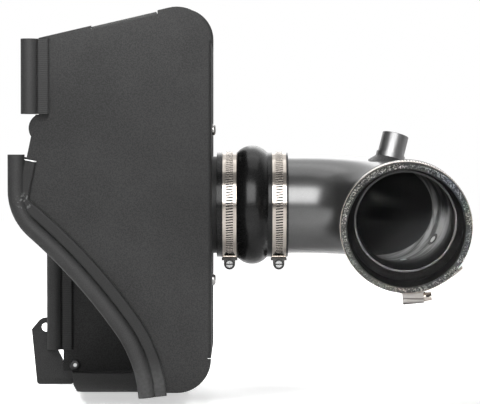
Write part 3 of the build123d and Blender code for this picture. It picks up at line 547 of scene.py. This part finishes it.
for clamp in ("adapter", "tube"):
    finishes[clamp + "_clamp_housing"] = shaded_steel
    finishes[clamp + "_clamp_screw"] = painted_shade_worm(clamp + "_clamp_screw")
for name, obj in nodes.items():
    obj.data.materials.clear()
    obj.data.materials.append(finishes.get(name, clamp_steel))


def seen_directly(tree, rays):
    """Rays that see the plain background."""
    return calc(tree, "MAXIMUM", rays["Is Camera Ray"], rays["Is Transmission Ray"])


# Floor under the lowest piece. To the camera it runs into white away from the object; gloss sees it
# dark close to the object, pale further out and dark again far off
FLOOR_SIZE = 12.0
CAMERA_GLOW = (0.56, 1.0)
CAMERA_FADE = (0.2, 0.6)
GLOSS_GLOW = (0.05, 0.75)
GLOSS_RISE = (0.1, 0.8)
GLOSS_END = (1.4, 2.2)
bpy.ops.mesh.primitive_plane_add(size=FLOOR_SIZE, location=(aim.x, aim.y, floor_z))
floor = bpy.context.object
floor.name = "floor"
floor_mat, paper, floor_bsdf = material("floor_paper")
away = length(paper, object_place(paper))
white = mix_value(paper, ramp(paper, away, *CAMERA_FADE), *CAMERA_GLOW)
pale = mix_value(paper, ramp(paper, away, *GLOSS_RISE), *GLOSS_GLOW)
gloss = mix_value(paper, ramp(paper, away, *GLOSS_END), pale, 0.0)
rays = add(paper, "LightPath").outputs
mirrored = calc(paper, "MULTIPLY", rays["Is Glossy Ray"], gloss)
put(paper, floor_bsdf, {
    "Base Color": greys(paper, noise(paper, 40.0), 0.78, 0.82),
    "Roughness": 0.9,
    "Specular IOR Level": 0.0,
    "Emission Color": (1, 1, 1, 1),
    "Emission Strength": mix_value(paper, seen_directly(paper, rays), mirrored, white),
})
floor.data.materials.append(floor_mat)

# White studio: the camera sees plain white, gloss sees white behind the object and a darker room
# in front, a little lighter overhead, and the rest is lit faintly
BEHIND = (0.0, 0.6)
OVERHEAD = (0.25, 0.95)
ROOM_LIGHT = 0.1
FRONT_GLOSS = 0.1
OVERHEAD_GLOSS = 0.2
world = bpy.data.worlds.new("studio")
bpy.context.scene.world = world
world.use_nodes = True
sky = world.node_tree
direction = add(sky, "TexCoord").outputs["Generated"]
behind = ramp(sky, part_of(sky, direction, "Y"), *BEHIND)
above = ramp(sky, part_of(sky, direction, "Z"), *OVERHEAD)
mirrored = calc(sky, "ADD", mix_value(sky, behind, FRONT_GLOSS, 1.0),
                calc(sky, "MULTIPLY", above, OVERHEAD_GLOSS))
rays = add(sky, "LightPath").outputs
room = mix_value(sky, rays["Is Glossy Ray"], ROOM_LIGHT, mirrored)
put(sky, sky.nodes["Background"], {
    "Color": (1, 1, 1, 1),
    "Strength": mix_value(sky, seen_directly(sky, rays), room, 1.0),
})


def softbox(name, place, target, size, power, hidden=(), spread=None):
    """Area lamp aimed at a target. Hidden names the kinds of ray that don't see it, and the spread
    of its beam is in degrees."""
    lamp = bpy.data.lights.new(name, "AREA")
    lamp.shape = "RECTANGLE"
    lamp.size, lamp.size_y = size
    lamp.energy = power
    if spread:
        lamp.spread = math.radians(spread)
    obj = bpy.data.objects.new(name, lamp)
    obj.location = place
    obj.rotation_euler = (target - place).to_track_quat("-Z", "Y").to_euler()
    for ray in hidden:
        setattr(obj, "visible_" + ray, False)
    bpy.context.scene.collection.objects.link(obj)


# Large key for the gloss, soft lamps for the shield, and a back lamp with a weak one for the rims
softbox("key_light", aim + Vector((-0.25, -2.3, 1.05)), aim, (2.3, 1.7), 75.0, ["diffuse"])
softbox("front_light", aim + Vector((-0.1, -0.25, 0.38)), aim + Vector((-0.09, -0.08, 0.1)),
        (0.25, 0.25), 2.2, ["glossy"])
softbox("left_light", aim + Vector((-0.95, 0.12, 1.0)), aim + Vector((-0.15, 0, -0.1)),
        (0.5, 0.5), 14.0, ["glossy"])
softbox("bounce_light", Vector((aim.x - 0.13, aim.y - 0.28, floor_z + 0.005)),
        aim + Vector((-0.13, -0.08, -0.12)), (0.6, 0.25), 0.75, ["glossy", "camera"])
softbox("back_light", aim + Vector((0.3, 1.8, 0.9)), aim, (0.9, 0.9), 16.0, ["glossy"])
softbox("rim_light", aim + Vector((0.28, 1.68, 0.84)), aim, (0.84, 0.84), 2.8, ["diffuse"])
# Two narrow beams into the coupler's mouth
softbox("mouth_light", mouth + Vector((-0.33, -1.65, 0.5)), mouth,
        (0.1, 0.1), 0.24, ["glossy"], spread=7.0)
softbox("bore_light", mouth + Vector((-0.05, -1.7, 0.1)), mouth,
        (0.1, 0.1), 0.06, ["glossy"], spread=6.0)
# Wide lamp overhead
softbox("top_light", aim + Vector((0.0, 0.2, 2.2)), aim, (2.0, 1.6), 11.0)

# Camera at the photograph's place: in front of the object, looking down at it by one degree
CAMERA_DISTANCE = 2.0
VIEW_ANGLE = math.radians(1.0)
camera_data = bpy.data.cameras.new("camera")
camera_data.sensor_width = 36.0
camera_data.lens = 162.8
camera_data.clip_end = 50.0
camera_data.dof.use_dof = False
camera = bpy.data.objects.new("camera", camera_data)
camera.location = aim + CAMERA_DISTANCE * Vector((0, -math.cos(VIEW_ANGLE), math.sin(VIEW_ANGLE)))
camera.rotation_euler = (math.radians(90) - VIEW_ANGLE, 0, 0)
bpy.context.scene.collection.objects.link(camera)
bpy.context.scene.camera = camera
bpy.context.scene.view_settings.view_transform = "Standard"
